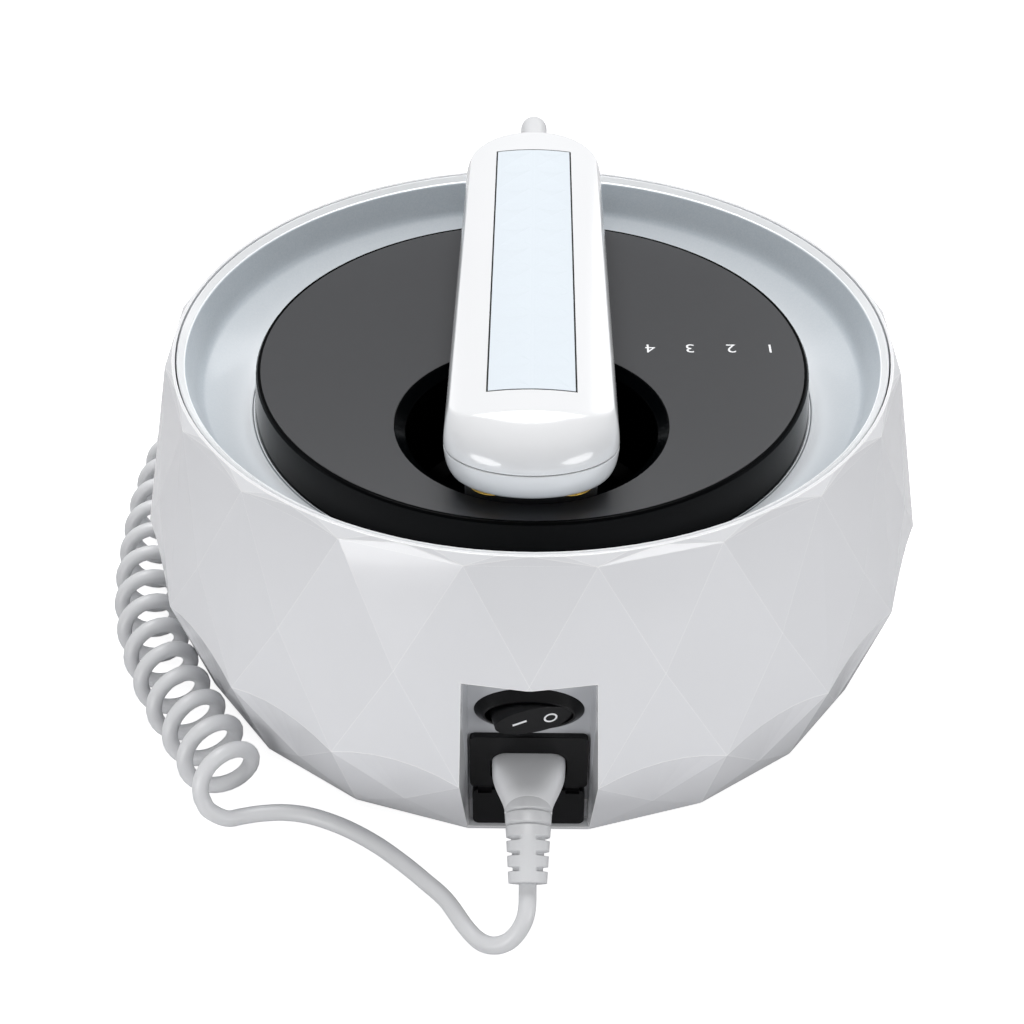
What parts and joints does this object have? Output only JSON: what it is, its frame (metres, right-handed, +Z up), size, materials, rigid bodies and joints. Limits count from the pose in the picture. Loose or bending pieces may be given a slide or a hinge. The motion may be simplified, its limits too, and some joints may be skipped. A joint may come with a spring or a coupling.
{
  "type": "facial toning device",
  "caption": "Round faceted white table base with a bowl and black touch disc, and a corded bar handset whose electrode head rests in an off-centre well.",
  "frame": {"origin": "centre of the plane the base stands on, under the centre of its round rim", "axes": "+Z up; -Y is the mains side with the switch, inlet and plug; +Y is the side where the handset's lead leaves; the handset lies along Y with its head towards -Y"},
  "size_m": [0.2347, 0.2819, 0.1085],
  "materials": {
    "shell_white": "gloss",
    "panel_grey": "satin",
    "plate_white": "satin",
    "foot_rubber": "matte",
    "screw_steel": "satin",
    "bowl_silver": "satin",
    "housing_black": "gloss",
    "panel_dark": "satin",
    "well_black": "gloss",
    "rest_grey": "satin",
    "board_green": "satin",
    "lamp_clear": "gloss",
    "black_plastic": "satin",
    "core_steel": "matte",
    "winding_copper": "gloss",
    "terminal_brass": "satin",
    "fuse_glass": "gloss",
    "cord_grey": "satin",
    "handset_white": "gloss",
    "inlay_pearl": "gloss",
    "electrode_gold": "gloss"
  },
  "bodies": {
    "base": {"outer_shell": "shell_white", "rear_panel": "panel_grey", "bottom_plate": "plate_white", "feet": "foot_rubber", "bottom_screws": "screw_steel", "inner_bowl": "bowl_silver", "disc_housing": "housing_black", "touch_panel": "panel_dark", "well_cup": "well_black", "cradle_rest": "rest_grey", "touch_board": "board_green", "level_lamps": "lamp_clear", "buzzer": "black_plastic", "housing_screws": "screw_steel", "power_board": "board_green", "transformer_core": "core_steel", "transformer_winding": "winding_copper", "rf_board": "board_green", "rf_coil": "winding_copper", "board_screws": "screw_steel", "switch_body": "black_plastic", "switch_terminals": "terminal_brass", "inlet_housing": "black_plastic", "inlet_pins": "terminal_brass", "plug": "cord_grey", "plug_relief": "cord_grey", "lead_to_coil": "cord_grey", "curly_cord": "cord_grey", "lead_to_handset": "cord_grey"},
    "rocker": {"switch_rocker": "black_plastic"},
    "drawer": {"fuse_drawer": "black_plastic", "fuse": "fuse_glass"},
    "handset": {"handset_top_cover": "handset_white", "handset_lower_cover": "handset_white", "handset_inlay": "inlay_pearl", "electrode_carrier": "plate_white", "electrodes": "electrode_gold", "handset_board": "board_green", "handset_screws": "screw_steel", "handset_gland": "cord_grey"}
  },
  "joints": [
    {"name": "switch_rock", "type": "hinge", "parent": "base", "child": "rocker", "pos_m": [0, -0.09625, 0.0422], "axis": [0, 0, -1], "range_deg": [0, 30]},
    {"name": "drawer_slide", "type": "slide", "parent": "base", "child": "drawer", "axis": [0, -1, 0], "range_m": [0, 0.013]},
    {"name": "handset_lift", "type": "slide", "parent": "base", "child": "handset", "axis": [0, 0, 1], "range_m": [0, 0.06]}
  ]
}
